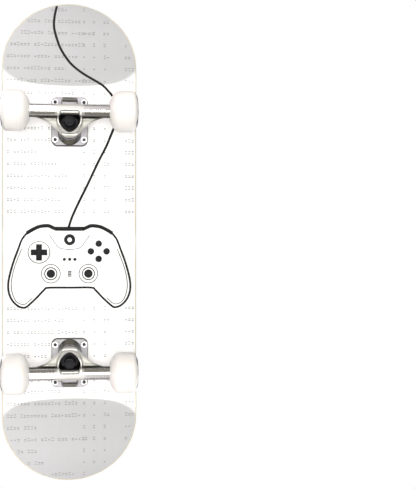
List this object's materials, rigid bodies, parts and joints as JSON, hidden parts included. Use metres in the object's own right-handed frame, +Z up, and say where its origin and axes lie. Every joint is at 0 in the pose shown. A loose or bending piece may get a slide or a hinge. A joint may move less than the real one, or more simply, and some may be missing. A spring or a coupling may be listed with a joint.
{
  "type": "skateboard",
  "caption": "Street skateboard with kicked nose and tail, sprung steering trucks, urethane wheels on ball bearings and a grip-covered deck.",
  "frame": {"origin": "on the floor plane the wheels stand on, below the middle of the deck", "axes": "+X to the nose, +Y to the left side, +Z up"},
  "size_m": [0.7038, 0.194, 0.1198],
  "materials": {
    "maple": "clear varnish, underside printed",
    "grip": "abrasive",
    "riser_rubber": "matte",
    "black_steel": "black oxide",
    "steel": "zinc plated",
    "dark_nut": "dark plated",
    "cast_aluminium": "cast, tumbled",
    "polished_aluminium": "cast, polished",
    "pivot_plastic": "moulded",
    "bushing_urethane": "cast urethane",
    "wheel_urethane": "cast urethane, smooth",
    "bearing_steel": "ground",
    "shield": "moulded dark shield"
  },
  "bodies": {
    "deck": {"deck": "maple", "grip_tape": "grip", "mounting_bolts": "black_steel", "mounting_nuts": "steel", "front_riser_pad": "riser_rubber", "rear_riser_pad": "riser_rubber", "front_baseplate": "cast_aluminium", "front_pivot_cup": "pivot_plastic", "front_kingpin": "black_steel", "front_kingpin_nut": "black_steel", "front_lower_washer": "black_steel", "front_lower_bushing": "bushing_urethane", "front_upper_bushing": "bushing_urethane", "front_upper_washer": "black_steel", "rear_baseplate": "cast_aluminium", "rear_pivot_cup": "pivot_plastic", "rear_kingpin": "black_steel", "rear_kingpin_nut": "black_steel", "rear_lower_washer": "black_steel", "rear_lower_bushing": "bushing_urethane", "rear_upper_bushing": "bushing_urethane", "rear_upper_washer": "black_steel"},
    "front_hanger": {"front_hanger": "polished_aluminium", "front_axle": "steel", "front_axle_nuts": "dark_nut", "front_speed_washers": "steel", "front_left_inner_rings": "bearing_steel", "front_left_spacer": "steel", "front_right_inner_rings": "bearing_steel", "front_right_spacer": "steel"},
    "front_left_wheel": {"front_left_wheel": "wheel_urethane", "front_left_outer_rings": "bearing_steel", "front_left_balls": "bearing_steel", "front_left_shields": "shield"},
    "front_right_wheel": {"front_right_wheel": "wheel_urethane", "front_right_outer_rings": "bearing_steel", "front_right_balls": "bearing_steel", "front_right_shields": "shield"},
    "rear_hanger": {"rear_hanger": "polished_aluminium", "rear_axle": "steel", "rear_axle_nuts": "dark_nut", "rear_speed_washers": "steel", "rear_left_inner_rings": "bearing_steel", "rear_left_spacer": "steel", "rear_right_inner_rings": "bearing_steel", "rear_right_spacer": "steel"},
    "rear_left_wheel": {"rear_left_wheel": "wheel_urethane", "rear_left_outer_rings": "bearing_steel", "rear_left_balls": "bearing_steel", "rear_left_shields": "shield"},
    "rear_right_wheel": {"rear_right_wheel": "wheel_urethane", "rear_right_outer_rings": "bearing_steel", "rear_right_balls": "bearing_steel", "rear_right_shields": "shield"}
  },
  "joints": [
    {"name": "front_steer", "type": "hinge", "parent": "deck", "child": "front_hanger", "pos_m": [0.1955, 0, 0.0645], "axis": [0.8453, 0, 0.5343], "range_deg": [-12, 12], "stiffness_Nm_per_rad": 60, "deforming": ["front_lower_bushing", "front_upper_bushing"]},
    {"name": "front_left_spin", "type": "hinge", "parent": "front_hanger", "child": "front_left_wheel", "pos_m": [0.185, 0.077, 0.029], "axis": [0, 1, 0], "continuous": true},
    {"name": "front_right_spin", "type": "hinge", "parent": "front_hanger", "child": "front_right_wheel", "pos_m": [0.185, -0.077, 0.029], "axis": [0, 1, 0], "continuous": true},
    {"name": "rear_steer", "type": "hinge", "parent": "deck", "child": "rear_hanger", "pos_m": [-0.1955, 0, 0.0645], "axis": [-0.8453, 0, 0.5343], "range_deg": [-12, 12], "stiffness_Nm_per_rad": 60, "deforming": ["rear_lower_bushing", "rear_upper_bushing"]},
    {"name": "rear_left_spin", "type": "hinge", "parent": "rear_hanger", "child": "rear_left_wheel", "pos_m": [-0.185, 0.077, 0.029], "axis": [0, 1, 0], "continuous": true},
    {"name": "rear_right_spin", "type": "hinge", "parent": "rear_hanger", "child": "rear_right_wheel", "pos_m": [-0.185, -0.077, 0.029], "axis": [0, 1, 0], "continuous": true}
  ]
}
